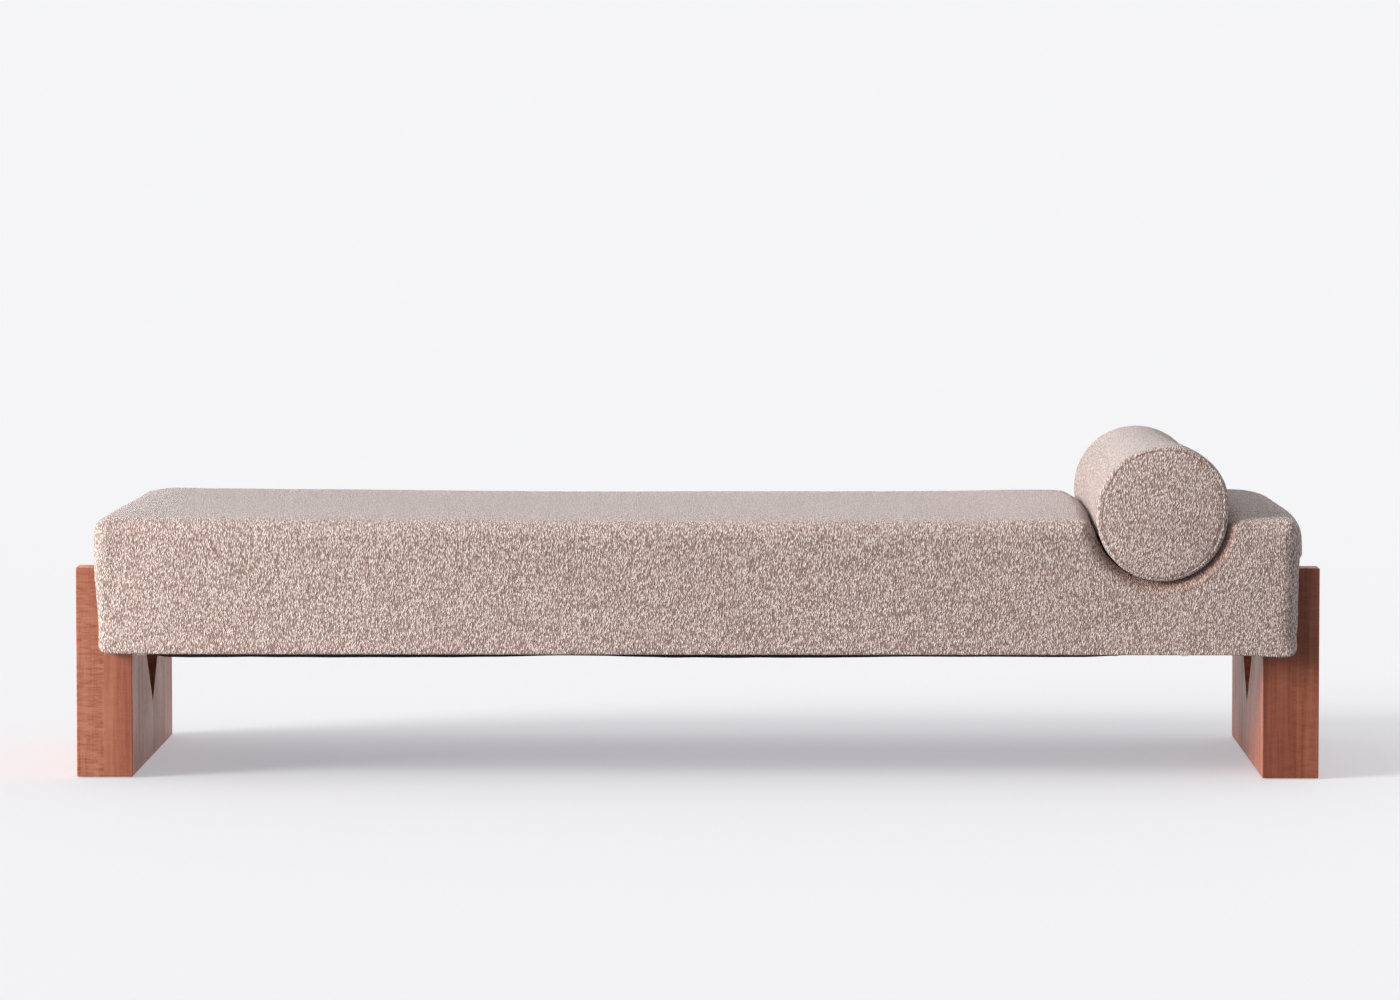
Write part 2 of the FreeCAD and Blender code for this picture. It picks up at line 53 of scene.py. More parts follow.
SLEEVE_LOW, SLEEVE_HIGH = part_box("bolster_cover_sleeve")
FRONT_END_LOW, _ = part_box("bolster_cover_front_end")
BOLSTER_X = (SLEEVE_LOW.x + SLEEVE_HIGH.x) / 2
BOLSTER_Z = (SLEEVE_LOW.z + SLEEVE_HIGH.z) / 2
BOLSTER_RADIUS = (SLEEVE_HIGH.z - SLEEVE_LOW.z) / 2
BOLSTER_RIM_Y = SLEEVE_HIGH.y
BOLSTER_DOME = -FRONT_END_LOW.y - BOLSTER_RIM_Y

WALL_LOW, WALL_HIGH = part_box("right_leg_outer_stave_1")
WALL_INNER_FACE = WALL_LOW.x
WALL_TOP = WALL_HIGH.z
WALL_HALF_DEPTH = -WALL_LOW.y
STAVE_WIDTH = WALL_HALF_DEPTH / 2
NOTCH_ROOT = 0.094               # height of the V-notch's lowest point
NOTCH_HALF_WIDTH = 0.280         # at the wall's top

_, DUST_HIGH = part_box("dust_cover")
ZIP_LOW, ZIP_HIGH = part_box("bolster_zip_tape")

# ---- how the upholstery is made ----

SWELL = 0.003                    # the pads start this much smaller than they end
SADDLE_RADIUS = BOLSTER_RADIUS + 0.0013
SADDLE_LIP_RADIUS = 0.015
SADDLE_EDGE_RADIUS = 0.020
SEAM_RADIUS = BOLSTER_RADIUS - 0.0105
SEAM_TALLER = 1.045              # the end disc is pulled up and down a little
TUFT_SIZE = 0.0075               # the tufts that the relief can hold
TUFT_STRETCH = 1.5
TUFT_HEIGHT = 0.0008
LOOP_SIZE = 0.0026               # the yarn's loops, across the warp
LOOP_STRETCH = 2.2               # how much longer they are along it


# ---- small helpers ----

def smoothstep(low, high, value):
    t = np.clip((np.asarray(value, float) - low) / (high - low), 0.0, 1.0)
    return t * t * (3.0 - 2.0 * t)


def arc_points(centre, radius, start, end, count):
    """Points on an arc in the XZ plane, angles in degrees from +X towards +Z."""
    angles = np.radians(np.linspace(start, end, count))
    return np.stack([centre[0] + radius * np.cos(angles), centre[1] + radius * np.sin(angles)], 1)


def resample(points, count):
    """The same open path with count + 1 evenly spaced points."""
    steps = np.linalg.norm(np.diff(points, axis=0), axis=1)
    along = np.concatenate([[0.0], np.cumsum(steps)])
    wanted = np.linspace(0.0, along[-1], count + 1)
    return np.stack([np.interp(wanted, along, points[:, i]) for i in range(points.shape[1])], 1)


def make_object(name, vertices, faces):
    """A new object. The faces of a closed one all look outwards."""
    mesh = bpy.data.meshes.new(name)
    mesh.from_pydata(np.asarray(vertices).tolist(), [], np.asarray(faces).tolist())
    mesh.validate()
    shell = bmesh.new()
    shell.from_mesh(mesh)
    bmesh.ops.recalc_face_normals(shell, faces=shell.faces)
    shell.to_mesh(mesh)
    shell.free()
    piece = bpy.data.objects.new(name, mesh)
    bpy.context.scene.collection.objects.link(piece)
    return piece


def read_points(mesh):
    flat = np.empty(len(mesh.vertices) * 3)
    mesh.vertices.foreach_get("co", flat)
    return flat.reshape(-1, 3)


def read_normals(mesh):
    flat = np.empty(len(mesh.vertices) * 3)
    mesh.vertex_normals.foreach_get("vector", flat)
    return flat.reshape(-1, 3)


def write_points(mesh, points):
    mesh.vertices.foreach_set("co", np.asarray(points, float).ravel())
    mesh.update()


def bake_modifiers(piece):
    """Replaces the piece's mesh by what its modifiers make of it."""
    depsgraph = bpy.context.evaluated_depsgraph_get()
    baked = bpy.data.meshes.new_from_object(piece.evaluated_get(depsgraph))
    piece.modifiers.clear()
    piece.data = baked


def subdivide(piece, levels):
    modifier = piece.modifiers.new("subdivide", "SUBSURF")
    modifier.levels = levels
    modifier.render_levels = levels
    bake_modifiers(piece)


def inflate(piece, pinned, pressure, cap):
    """Blows the piece up as cloth under pressure, with pinned points held and no point moved over cap."""
    start = read_points(piece.data)
    group = piece.vertex_groups.new(name="pinned")
    group.add(np.flatnonzero(pinned).tolist(), 1.0, "REPLACE")
    cloth = piece.modifiers.new("cloth", "CLOTH")
    cloth.settings.quality = 5
    cloth.settings.mass = 0.3
    cloth.settings.tension_stiffness = 12
    cloth.settings.compression_stiffness = 12
    cloth.settings.shear_stiffness = 5
    cloth.settings.bending_stiffness = 0.4
    cloth.settings.use_pressure = True
    cloth.settings.uniform_pressure_force = pressure
    cloth.settings.effector_weights.gravity = 0
    cloth.settings.vertex_group_mass = "pinned"
    cloth.collision_settings.use_collision = False
    scene = bpy.context.scene
    for number in range(1, 21):
        scene.frame_set(number)
    bake_modifiers(piece)
    piece.vertex_groups.clear()
    scene.frame_set(1)
    moved = read_points(piece.data) - start
    length = np.linalg.norm(moved, axis=1, keepdims=True)
    soft_cap = cap * np.tanh(length / cap) / np.maximum(length, 1e-9)
    write_points(piece.data, start + moved * soft_cap)


def fit_box(points, low, high):
    """The points, stretched along each axis so that their box runs from low to high."""
    low, high = np.array(low), np.array(high)
    old_low, old_high = points.min(0), points.max(0)
    return low + (points - old_low) * (high - low) / (old_high - old_low)


def tuft_height(points):
    """How far the boucle's tufts rise at each point, from 0 in the pits to 1 on the tufts."""
    scale = np.array([1.0, 1.0 / TUFT_STRETCH, 1.0 / TUFT_STRETCH]) / TUFT_SIZE
    heights = np.empty(len(points))
    for i, place in enumerate((points * scale).tolist()):
        nearest = noise.voronoi(place)[0]
        heights[i] = 0.95 - 0.9 * nearest[0]
    return np.clip(heights, 0.0, 1.0)


def raise_tufts(piece, mask):
    """Gives the cloth its tufts as real relief, where the mask is 1."""
    mesh = piece.data
    points, normals = read_points(mesh), read_normals(mesh)
    relief = TUFT_HEIGHT * (tuft_height(points) - 0.55) * mask
    write_points(mesh, points + normals * relief[:, None])
    for polygon in mesh.polygons:
        polygon.use_smooth = True


# ---- the seat ----

SEAT_COLUMNS = 138               # cells along the front face
SEAT_ROWS = 15                   # and up it
SEAT_STEPS_IN_DEPTH = 48         # from front to back
SEAT_EDGE_STEPS = 3              # round each soft edge
BOUCLE_LIFT = 0.0018             # the cover's lower edge stands this far above the leg blocks
LEFT_OVERHANG, RIGHT_OVERHANG = 0.014, 0.008   # how far the ends' feet stand in from their bulge
RIGHT_SWELL = 0.004              # the right end bulges this much further than the left
RIGHT_REACH = 0.005              # how far it starts past the CAD's end, before it settles
TOP_DIP = 0.0042                 # how far the top sinks towards the middle
TOP_RISE = 0.0030                # how far the pad's crown starts above the CAD's top, before it settles
RIGHT_RISE = 0.0025              # how much higher it is round the saddle, and again at the right end
BACK_DROP = 0.0040               # how far its back corners fall
CORNER_DROP = 0.0040             # how far the lower right corner hangs outside the wall
END_TAPER = 0.022                # the share by which the ends are less deep than the middle
WALL_CLEARANCE = 0.0012          # between the cover and the walls
SADDLE_CLOSES = 0.016            # the cover closes round the bolster within this distance


def seat_paths():
    """The front outline's four sides: bottom, right, top and left, each an open path of (x, z) points.

    The paths meet half way round each corner."""
    top = SEAT_TOP - SWELL
    bottom = SEAT_BOTTOM + BOUCLE_LIFT
    bulge_left, bulge_right = SEAT_HALF_LENGTH - SWELL, SEAT_HALF_LENGTH - SWELL + RIGHT_SWELL
    foot_left, foot_right = bulge_left - LEFT_OVERHANG, bulge_right - RIGHT_OVERHANG
    corner, foot_corner = 0.022, 0.010

    def end_side(side, bulge, foot):
        """From the top corner's middle down to the bottom corner's middle."""
        upper = arc_points((bulge - corner, top - corner), corner, 45, 0, 12)
        heights = np.linspace(top - corner - 0.01, bottom + foot_corner, 24)
        lean = np.clip((0.345 - heights) / (0.345 - bottom), 0, 1) ** 1.25
        straight = np.stack([bulge - (bulge - foot) * lean, heights], 1)
        lower = arc_points((straight[-1, 0] - foot_corner, bottom + foot_corner), foot_corner, 0, -45, 8)
        path = np.concatenate([upper, straight, lower[1:]])
        path[:, 0] *= side
        return path

    right = end_side(1, bulge_right, foot_right)
    left = end_side(-1, bulge_left, foot_left)

    radius = SADDLE_RADIUS + SWELL
    lip = SADDLE_LIP_RADIUS
    lip_z = top - lip
    drop = BOLSTER_Z - lip_z
    reach = math.sqrt((radius + lip) ** 2 - drop ** 2)
    angle = math.degrees(math.atan2(drop, reach))
    saddle = np.concatenate([
        arc_points((BOLSTER_X - reach, lip_z), lip, 90, angle, 8),
        arc_points((BOLSTER_X, BOLSTER_Z), radius, 180 + angle, 360 - angle, 60),
        arc_points((BOLSTER_X + reach, lip_z), lip, 180 - angle, 90, 8),
    ])
    top_left = arc_points((-(bulge_left - corner), top - corner), corner, 135, 90, 8)
    top_right = arc_points((bulge_right - corner, top - corner), corner, 90, 45, 8)
    top_path = np.concatenate([top_left, saddle, top_right])

    inset, height = foot_corner * math.sqrt(0.5), bottom + foot_corner
    bottom_path = np.concatenate([
        arc_points((left[-1, 0] + inset, height), foot_corner, 225, 270, 8),
        arc_points((right[-1, 0] - inset, height), foot_corner, 270, 315, 8),
    ])
    return bottom_path, right, top_path, left


def seat_loop():
    """The outline as one loop, counter-clockwise seen from the front, with each point's edge radius."""
    bottom, right, top, left = seat_paths()
    sides = [
        resample(bottom, SEAT_COLUMNS), resample(right[::-1], SEAT_ROWS),
        resample(top[::-1], SEAT_COLUMNS), resample(left, SEAT_ROWS),
    ]
    loop = np.concatenate([side[:-1] for side in sides])
    tangent = np.roll(loop, -1, 0) - np.roll(loop, 1, 0)
    tangent /= np.linalg.norm(tangent, axis=1, keepdims=True)
    outward = np.stack([tangent[:, 1], -tangent[:, 0]], 1)
    radius = 0.010 + 0.016 * smoothstep(-0.9, 0.2, outward[:, 1])
    to_bolster = np.hypot(loop[:, 0] - BOLSTER_X, loop[:, 1] - BOLSTER_Z) - SADDLE_RADIUS
    in_saddle = 1 - smoothstep(0.010, 0.030, to_bolster)
    return loop, outward, radius + (SADDLE_EDGE_RADIUS - radius) * in_saddle


def seat_mesh():
    """A closed mesh of quads: the skin round the outline, and a grid over the front and the back."""
    loop, outward, radius = seat_loop()
    count = len(loop)
    half_depth = SEAT_HALF_DEPTH - SWELL

    rows = []
    turns = np.radians(np.linspace(90, 0, SEAT_EDGE_STEPS + 1))
    for turn in turns:
        inset = radius * (1 - math.cos(turn))
        y = -half_depth + radius * (1 - math.sin(turn))
        rows.append((inset, y))
    edge_rows = len(rows)
    for step in range(1, SEAT_STEPS_IN_DEPTH):
        share = step / SEAT_STEPS_IN_DEPTH
        start = -half_depth + radius
        rows.append((np.zeros(count), start + (-2 * start) * share))
    rows += [(inset, -y) for inset, y in rows[:edge_rows][::-1]]

    vertices = []
    for inset, y in rows:
        ring = loop - outward * inset[:, None]
        vertices.append(np.stack([ring[:, 0], y, ring[:, 1]], 1))
    faces = []
    for row in range(len(rows) - 1):
        for i in range(count):
            j = (i + 1) % count
            a, b = row * count, (row + 1) * count
            faces.append((a + i, a + j, b + j, b + i))

    for row, flip in ((0, True), (len(rows) - 1, False)):
        ring = vertices[row]
        base = row * count
        first = sum(len(part) for part in vertices)
        grid, inner = cap_grid(ring, base, first)
        vertices.append(inner)
        for i in range(SEAT_COLUMNS):
            for j in range(SEAT_ROWS):
                face = (grid[i][j], grid[i][j + 1], grid[i + 1][j + 1], grid[i + 1][j])
                faces.append(face[::-1] if flip else face)
    return np.concatenate(vertices), faces


def cap_grid(ring, base, first):
    """A grid over one flat face, stretched between the four sides of its ring.

    Returns the vertex numbers, column by column from the bottom up, and the inner vertices."""
    m, k = SEAT_COLUMNS, SEAT_ROWS
    bottom = [base + i for i in range(m + 1)]
    right = [base + m + j for j in range(k + 1)]
    top = [base + m + k + (m - i) for i in range(m + 1)]
    left = [base + (2 * m + k + (k - j)) % len(ring) for j in range(k + 1)]
    at = {number: ring[number - base] for number in (*bottom, *right, *top, *left)}

    grid = [[0] * (k + 1) for _ in range(m + 1)]
    inner = []
    for i in range(m + 1):
        for j in range(k + 1):
            if j == 0:
                grid[i][j] = bottom[i]
            elif j == k:
                grid[i][j] = top[i]
            elif i == 0:
                grid[i][j] = left[j]
            elif i == m:
                grid[i][j] = right[j]
            else:
                u, v = i / m, j / k
                sides = (1 - v) * at[bottom[i]] + v * at[top[i]]
                sides = sides + (1 - u) * at[left[j]] + u * at[right[j]]
                corners = (
                    (1 - u) * (1 - v) * at[bottom[0]] + u * (1 - v) * at[bottom[m]]
                    + (1 - u) * v * at[top[0]] + u * v * at[top[m]]
                )
                grid[i][j] = first + len(inner)
                inner.append(sides - corners)
    return grid, np.array(inner)


def settle_seat(points):
    """How the upholstery sits: the dip along its top, the soft corners, the walls and the bolster."""
    x, y, z = points.T.copy()

    upper = smoothstep(0.30, SEAT_TOP - 0.01, z)
    dip = TOP_DIP * np.clip(1 - ((x + 0.02) / 0.86) ** 2, 0, 1)
    wander = np.array([noise.noise((a * 2.3, b * 2.9, 3.0)) for a, b in zip(x.tolist(), y.tolist())])
    z += upper * (0.0012 * wander - dip + RIGHT_RISE * smoothstep(0.46, 0.60, x))

    at_back = smoothstep(-0.25, 0.30, y)
    z -= upper * at_back * BACK_DROP * np.clip((np.abs(x) - 0.895) / 0.075, 0, 1.2) ** 2
    z += upper * RIGHT_RISE * smoothstep(0.84, 0.92, x)

    to_end = np.clip((np.abs(x) - 0.80) / 0.18, 0, 1)
    y *= 1 - END_TAPER * to_end ** 2

    lower_right = smoothstep(0.86, 0.97, x) * smoothstep(0.27, SEAT_BOTTOM, z)
    outside_wall = smoothstep(WALL_HALF_DEPTH + 0.006, WALL_HALF_DEPTH + 0.020, np.abs(y))
    z -= CORNER_DROP * lower_right * outside_wall
    over_block = smoothstep(0.912, 0.924, np.abs(x)) * (1 - outside_wall)
    lowest = 1 - smoothstep(SEAT_BOTTOM + 0.004, SEAT_BOTTOM + 0.012, z)
    z -= (BOUCLE_LIFT - 0.0004) * over_block * lowest

    # the ends lie flat on the walls, and swell over and beside them
    over = smoothstep(WALL_TOP + 0.001, WALL_TOP + 0.022, z)
    beside = smoothstep(WALL_HALF_DEPTH + 0.001, WALL_HALF_DEPTH + 0.020, np.abs(y))
    free = np.maximum(over, beside)
    limit = WALL_INNER_FACE - WALL_CLEARANCE
    pressed = np.sign(x) * np.minimum(np.abs(x), limit)
    x = pressed + (x - pressed) * free

    # the saddle lies close round the bolster without touching it
    dx, dz = x - BOLSTER_X, z - BOLSTER_Z
    distance = np.hypot(dx, dz)
    gap = distance - SADDLE_RADIUS
    closed = SADDLE_RADIUS + np.maximum(gap, 0) * smoothstep(0.0, SADDLE_CLOSES, gap)
    near = (z < BOLSTER_Z + 0.004) & (gap < SADDLE_CLOSES) & (np.abs(y) < SEAT_HALF_DEPTH - 0.022)
    near |= (z < BOLSTER_Z) & (gap < 0)
    push = np.where(near, closed / np.maximum(distance, 1e-6), 1.0)
    x, z = BOLSTER_X + dx * push, BOLSTER_Z + dz * push
    return np.stack([x, y, z], 1)


def make_seat():
    vertices, faces = seat_mesh()
    seat = make_object("seat_boucle_cover", vertices, faces)
    inflate(seat, vertices[:, 2] < SEAT_BOTTOM + 0.006, pressure=4.0, cap=0.006)
    subdivide(seat, 2)
    low = (-SEAT_HALF_LENGTH, -SEAT_HALF_DEPTH, SEAT_BOTTOM + BOUCLE_LIFT)
    high = (SEAT_HALF_LENGTH + RIGHT_REACH, SEAT_HALF_DEPTH, SEAT_TOP + TOP_RISE)
    points = fit_box(read_points(seat.data), low, high)
    write_points(seat.data, settle_seat(points))
    points = read_points(seat.data)
    on_show = smoothstep(SEAT_BOTTOM + 0.0005, SEAT_BOTTOM + 0.005, points[:, 2])
    raise_tufts(seat, on_show)
    # painted shade: the cover's colour is darkened and browned close round the bolster, where the saddle
    # lies in its shade
    to_bolster = np.hypot(points[:, 0] - BOLSTER_X, points[:, 2] - BOLSTER_Z) - SADDLE_RADIUS
    painted_saddle_shade = 1 - smoothstep(0.002, 0.026, to_bolster)
    seat.data.attributes.new("painted_saddle_shade", "FLOAT", "POINT").data.foreach_set("value", painted_saddle_shade)
    seat.data.materials.append(boucle_material("boucle_seat", seamed=False))
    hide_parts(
        "seat_cover", "seat_foam", "front_padding", "back_padding",
        "left_end_padding", "right_end_padding",
    )
    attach(seat, "daybed")


# ---- the bolster ----

BOLSTER_GRID = 16                # cells across the end disc; four times as many go round the sleeve
BOLSTER_STEPS = 66               # along the sleeve
SEAM_DEPTH = 0.0012              # the sewn seam's groove
SEAM_WIDTH = 0.0024
ZIP_RECESS = 0.0045
FRONT_SWELL, SIDE_SWELL = 0.050, 0.062   # the front end's extra fullness, straight up and at 45 degrees


def bolster_mesh():
    """A closed mesh of quads: a grid over each end disc, rings round the rims and along the sleeve."""
    n = BOLSTER_GRID
    ticks = np.linspace(-1, 1, n + 1)

    def on_disc(u, v):
        return np.array([u * math.sqrt(1 - v * v / 2), v * math.sqrt(1 - u * u / 2)])

    border = [(i, 0) for i in range(n)] + [(n, j) for j in range(n)]
    border += [(n - i, n) for i in range(n)] + [(0, n - j) for j in range(n)]
    ring_directions = np.array([on_disc(ticks[i], ticks[j]) for i, j in border])
    count = len(border)

    sleeve_radius = BOLSTER_RADIUS - SWELL
    rim = sleeve_radius - SEAM_RADIUS
    rim_y = BOLSTER_RIM_Y - SWELL / 2
    rings = [(SEAM_RADIUS, -rim_y)]
    for turn in (60, 30, 0):
        angle = math.radians(turn)
        rings.append((SEAM_RADIUS + rim * math.cos(angle), -rim_y + rim * (1 - math.sin(angle))))
    straight = rim_y - rim
    for step in range(1, BOLSTER_STEPS):
        rings.append((sleeve_radius, -straight + 2 * straight * step / BOLSTER_STEPS))
    rings += [(r, -y) for r, y in rings[:4][::-1]]

    vertices = []
    for radius, y in rings:
        taller = 1 + (SEAM_TALLER - 1) * (radius <= SEAM_RADIUS)
        for cx, cz in ring_directions * radius:
            vertices.append((BOLSTER_X + cx, y, BOLSTER_Z + taller * cz))
    faces = []
    for row in range(len(rings) - 1):
        for i in range(count):
            j = (i + 1) % count
            a, b = row * count, (row + 1) * count
            faces.append((a + i, a + j, b + j, b + i))

    for row, side in ((0, -1), (len(rings) - 1, 1)):
        numbers = {place: row * count + k for k, place in enumerate(border)}
        for i in range(1, n):
            for j in range(1, n):
                cx, cz = on_disc(ticks[i], ticks[j]) * SEAM_RADIUS
                rise = 0.6 * BOLSTER_DOME * (1 - (cx * cx + cz * cz) / SEAM_RADIUS ** 2)
                numbers[i, j] = len(vertices)
                vertices.append((BOLSTER_X + cx, side * (rim_y + rise), BOLSTER_Z + SEAM_TALLER * cz))
        for i in range(n):
            for j in range(n):
                face = (numbers[i, j], numbers[i + 1, j], numbers[i + 1, j + 1], numbers[i, j + 1])
                faces.append(face if side < 0 else face[::-1])
    return np.array(vertices), faces


def settle_bolster(points):
    """The sewn seam's groove at each end, the recess of the zip, and how the stuffing pushes it out.

    Returns the points, how far each is from the seam, and where the recess is."""
    x, y, z = points.T.copy()
    dx, dz = x - BOLSTER_X, z - BOLSTER_Z
    distance = np.hypot(dx, dz)
    at_end = smoothstep(BOLSTER_RIM_Y - 0.012, BOLSTER_RIM_Y - 0.004, np.abs(y))
    to_seam = np.hypot(dx, dz / SEAM_TALLER) - SEAM_RADIUS
    groove = np.exp(-(to_seam / SEAM_WIDTH) ** 2) * at_end
    y -= np.sign(y) * SEAM_DEPTH * groove

    wander = np.array([noise.noise((a * 9.0, b * 5.0, c * 9.0)) for a, b, c in points.tolist()])
    upper_half = smoothstep(-0.2, 0.3, dz / BOLSTER_RADIUS)
    unevenness = 0.0012 * wander * (1 - at_end)
    new_distance = np.where(at_end > 0.5, distance, np.minimum(distance + unevenness, BOLSTER_RADIUS))

    across = np.abs(dx) - (ZIP_HIGH.x - ZIP_LOW.x) / 2
    along = np.abs(y) - ZIP_HIGH.y
    recess = (dz < 0) * (1 - smoothstep(0.0003, 0.0028, across)) * (1 - smoothstep(0.0003, 0.0028, along))
    new_distance = new_distance - ZIP_RECESS * recess

    rising, turning = dz / np.maximum(distance, 1e-6), dx / np.maximum(distance, 1e-6)
    towards_front = smoothstep(0.15, -BOLSTER_RIM_Y, y) * upper_half
    swell = FRONT_SWELL * np.clip(rising, 0, 1)
    swell = swell + SIDE_SWELL * np.clip(2 * rising * turning, 0, 1)
    new_distance = new_distance * (1 + swell * towards_front)
    share = new_distance / np.maximum(distance, 1e-6)
    off_seam = np.where(at_end > 0.1, to_seam, 1.0)
    return np.stack([BOLSTER_X + dx * share, y, BOLSTER_Z + dz * share], 1), off_seam, recess


def make_bolster():
    vertices, faces = bolster_mesh()
    bolster = make_object("bolster_boucle_cover", vertices, faces)
    radius = np.hypot(vertices[:, 0] - BOLSTER_X, vertices[:, 2] - BOLSTER_Z)
    at_end = np.abs(vertices[:, 1]) > BOLSTER_RIM_Y - 0.004
    on_seam = at_end & (np.abs(radius / SEAM_RADIUS - 1) < 0.06)
    inflate(bolster, on_seam, pressure=4.0, cap=0.004)
    subdivide(bolster, 2)
    reach = Vector((BOLSTER_RADIUS, BOLSTER_RIM_Y + BOLSTER_DOME, BOLSTER_RADIUS))
    middle = Vector((BOLSTER_X, 0.0, BOLSTER_Z))
    points = fit_box(read_points(bolster.data), middle - reach, middle + reach)
    points, off_seam, recess = settle_bolster(points)
    write_points(bolster.data, points)
    bolster.data.attributes.new("off_seam", "FLOAT", "POINT").data.foreach_set("value", off_seam)
    raise_tufts(bolster, 1 - recess)
    bolster.data.materials.append(boucle_material("boucle_bolster", seamed=True))
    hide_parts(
        "bolster_cover_sleeve", "bolster_cover_front_end", "bolster_cover_back_end",
        "bolster_wadding", "bolster_core",
    )
    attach(bolster, "bolster")


# ---- the dust cover ----

MARGIN = 0.004                   # how far the cloth reaches past its CAD solid, front and back
MARGIN_RISE = 0.0022             # its free margin, from the staples up to the seat
CLOTH_THICKNESS = 0.0006


def make_dust_cover():
    """Thin black cloth, stapled round its edge, whose margin hangs slack outside the staples."""
    half_x, half_y = DUST_HIGH.x, DUST_HIGH.y + MARGIN
    staple_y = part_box("dust_cover_staples")[1].y
    staple_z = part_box("dust_cover_staples")[1].z
    xs = np.linspace(-half_x, half_x, 241)
    ys = np.linspace(-half_y, half_y, 73)
    x, y = [grid.ravel() for grid in np.meshgrid(xs, ys, indexing="ij")]
    ripple = np.array([noise.noise((a * 16, b * 9, 2.0)) for a, b in zip(x.tolist(), y.tolist())])
    belly = 0.0025 * (1 - (x / half_x) ** 6) * (1 - np.minimum(1.0, np.abs(y) / staple_y) ** 4)

    margin = smoothstep(staple_y - 0.003, half_y - 0.002, np.abs(y))
    tighter_place = np.exp(-((x + 0.21) / 0.12) ** 2)
    droop = 0.0053 - 0.0034 * tighter_place - 0.0018 * smoothstep(0.18, 0.34, x)
    droop *= 1 - smoothstep(0.62, 0.72, x)
    droop *= smoothstep(-0.893, -0.865, x)
    z = staple_z + 0.0001 - belly + margin * (MARGIN_RISE - droop * (1 + 0.25 * ripple))

    across = len(ys)
    starts = [i * across + j for i in range(len(xs) - 1) for j in range(across - 1)]
    faces = [(a, a + 1, a + across + 1, a + across) for a in starts]
    cloth = make_object("dust_cover_cloth", np.stack([x, y, z], 1), faces)
    solid = cloth.modifiers.new("thickness", "SOLIDIFY")
    solid.thickness = CLOTH_THICKNESS
    solid.offset = 1.0
    bake_modifiers(cloth)
    for polygon in cloth.data.polygons:
        polygon.use_smooth = True
    cloth.data.materials.append(dust_material())
    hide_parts("dust_cover")
    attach(cloth, "daybed")


# ---- materials ----

class Graph:
    """A material's nodes, with short calls to add and join them."""

    def __init__(self, name="", tree=None):
        if tree is None:
            self.material = bpy.data.materials.new(name)
            self.material.use_nodes = True
            self.tree = self.material.node_tree
            self.shader = self.tree.nodes["Principled BSDF"]
        else:
            self.tree = tree
            tree.nodes.clear()
        self.place = self.node("ShaderNodeTexCoord").outputs["Object"]

    def node(self, kind, **settings):
        made = self.tree.nodes.new(kind)
        for key, value in settings.items():
            setattr(made, key, value)
        return made

    def feed(self, socket, value):
        if isinstance(value, bpy.types.NodeSocket):
            self.tree.links.new(value, socket)
        else:
            socket.default_value = value

    def math(self, operation, a, b=0.0, clamp=False):
        made = self.node("ShaderNodeMath", operation=operation, use_clamp=clamp)
        self.feed(made.inputs[0], a)
        self.feed(made.inputs[1], b)
        return made.outputs[0]

    def blend(self, a, b, share):
        """a times (1 - share) plus b times share, for numbers."""
        made = self.node("ShaderNodeMix", data_type="FLOAT")
        self.feed(made.inputs[0], share)
        self.feed(made.inputs[2], a)
        self.feed(made.inputs[3], b)
        return made.outputs[0]

    def mix(self, share, a, b, how="MIX"):
        made = self.node("ShaderNodeMix", data_type="RGBA", blend_type=how)
        self.feed(made.inputs[0], share)
        self.feed(made.inputs[6], a)
        self.feed(made.inputs[7], b)
        return made.outputs[2]

    def stretched(self, scale):
        """The object's own coordinates, times scale along each axis."""
        made = self.node("ShaderNodeVectorMath", operation="MULTIPLY")
        self.feed(made.inputs[0], self.place)
        self.feed(made.inputs[1], scale)
        return made.outputs[0]

    def split(self, vector=None):
        made = self.node("ShaderNodeSeparateXYZ")
        self.feed(made.inputs[0], self.place if vector is None else vector)
        return made.outputs

    def noise(self, vector, scale, detail=2.0, roughness=0.5, distortion=0.0):
        made = self.node("ShaderNodeTexNoise")
        self.feed(made.inputs["Vector"], vector)
        made.inputs["Scale"].default_value = scale
        made.inputs["Detail"].default_value = detail
        made.inputs["Roughness"].default_value = roughness
        made.inputs["Distortion"].default_value = distortion
        return made.outputs["Fac"]

    def cells(self, vector, scale, feature="F1"):
        made = self.node("ShaderNodeTexVoronoi", feature=feature)
        self.feed(made.inputs["Vector"], vector)
        made.inputs["Scale"].default_value = scale
        return made.outputs["Distance"]

    def spread(self, value, low, high, to_low=0.0, to_high=1.0):
        made = self.node("ShaderNodeMapRange", interpolation_type="SMOOTHSTEP")
        self.feed(made.inputs["Value"], value)
        ends = {"From Min": low, "From Max": high, "To Min": to_low, "To Max": to_high}
        for key, number in ends.items():
            made.inputs[key].default_value = number
        return made.outputs["Result"]

    def ramp(self, value, stops):
        made = self.node("ShaderNodeValToRGB")
        elements = made.color_ramp.elements
        while len(elements) < len(stops):
            elements.new(0.5)
        for element, (position, colour) in zip(elements, stops):
            element.position = position
            element.color = (*colour, 1.0)
        self.feed(made.inputs["Fac"], value)
        return made.outputs["Color"]

    def bump(self, height, strength, distance):
        made = self.node("ShaderNodeBump")
        made.inputs["Strength"].default_value = strength
        made.inputs["Distance"].default_value = distance
        self.feed(made.inputs["Height"], height)
        self.feed(self.shader.inputs["Normal"], made.outputs["Normal"])

    def finish(self, colour, **constants):
        self.feed(self.shader.inputs["Base Color"], colour)
        for key, value in constants.items():
            self.feed(self.shader.inputs[key.replace("_", " ")], value)
        return self.material


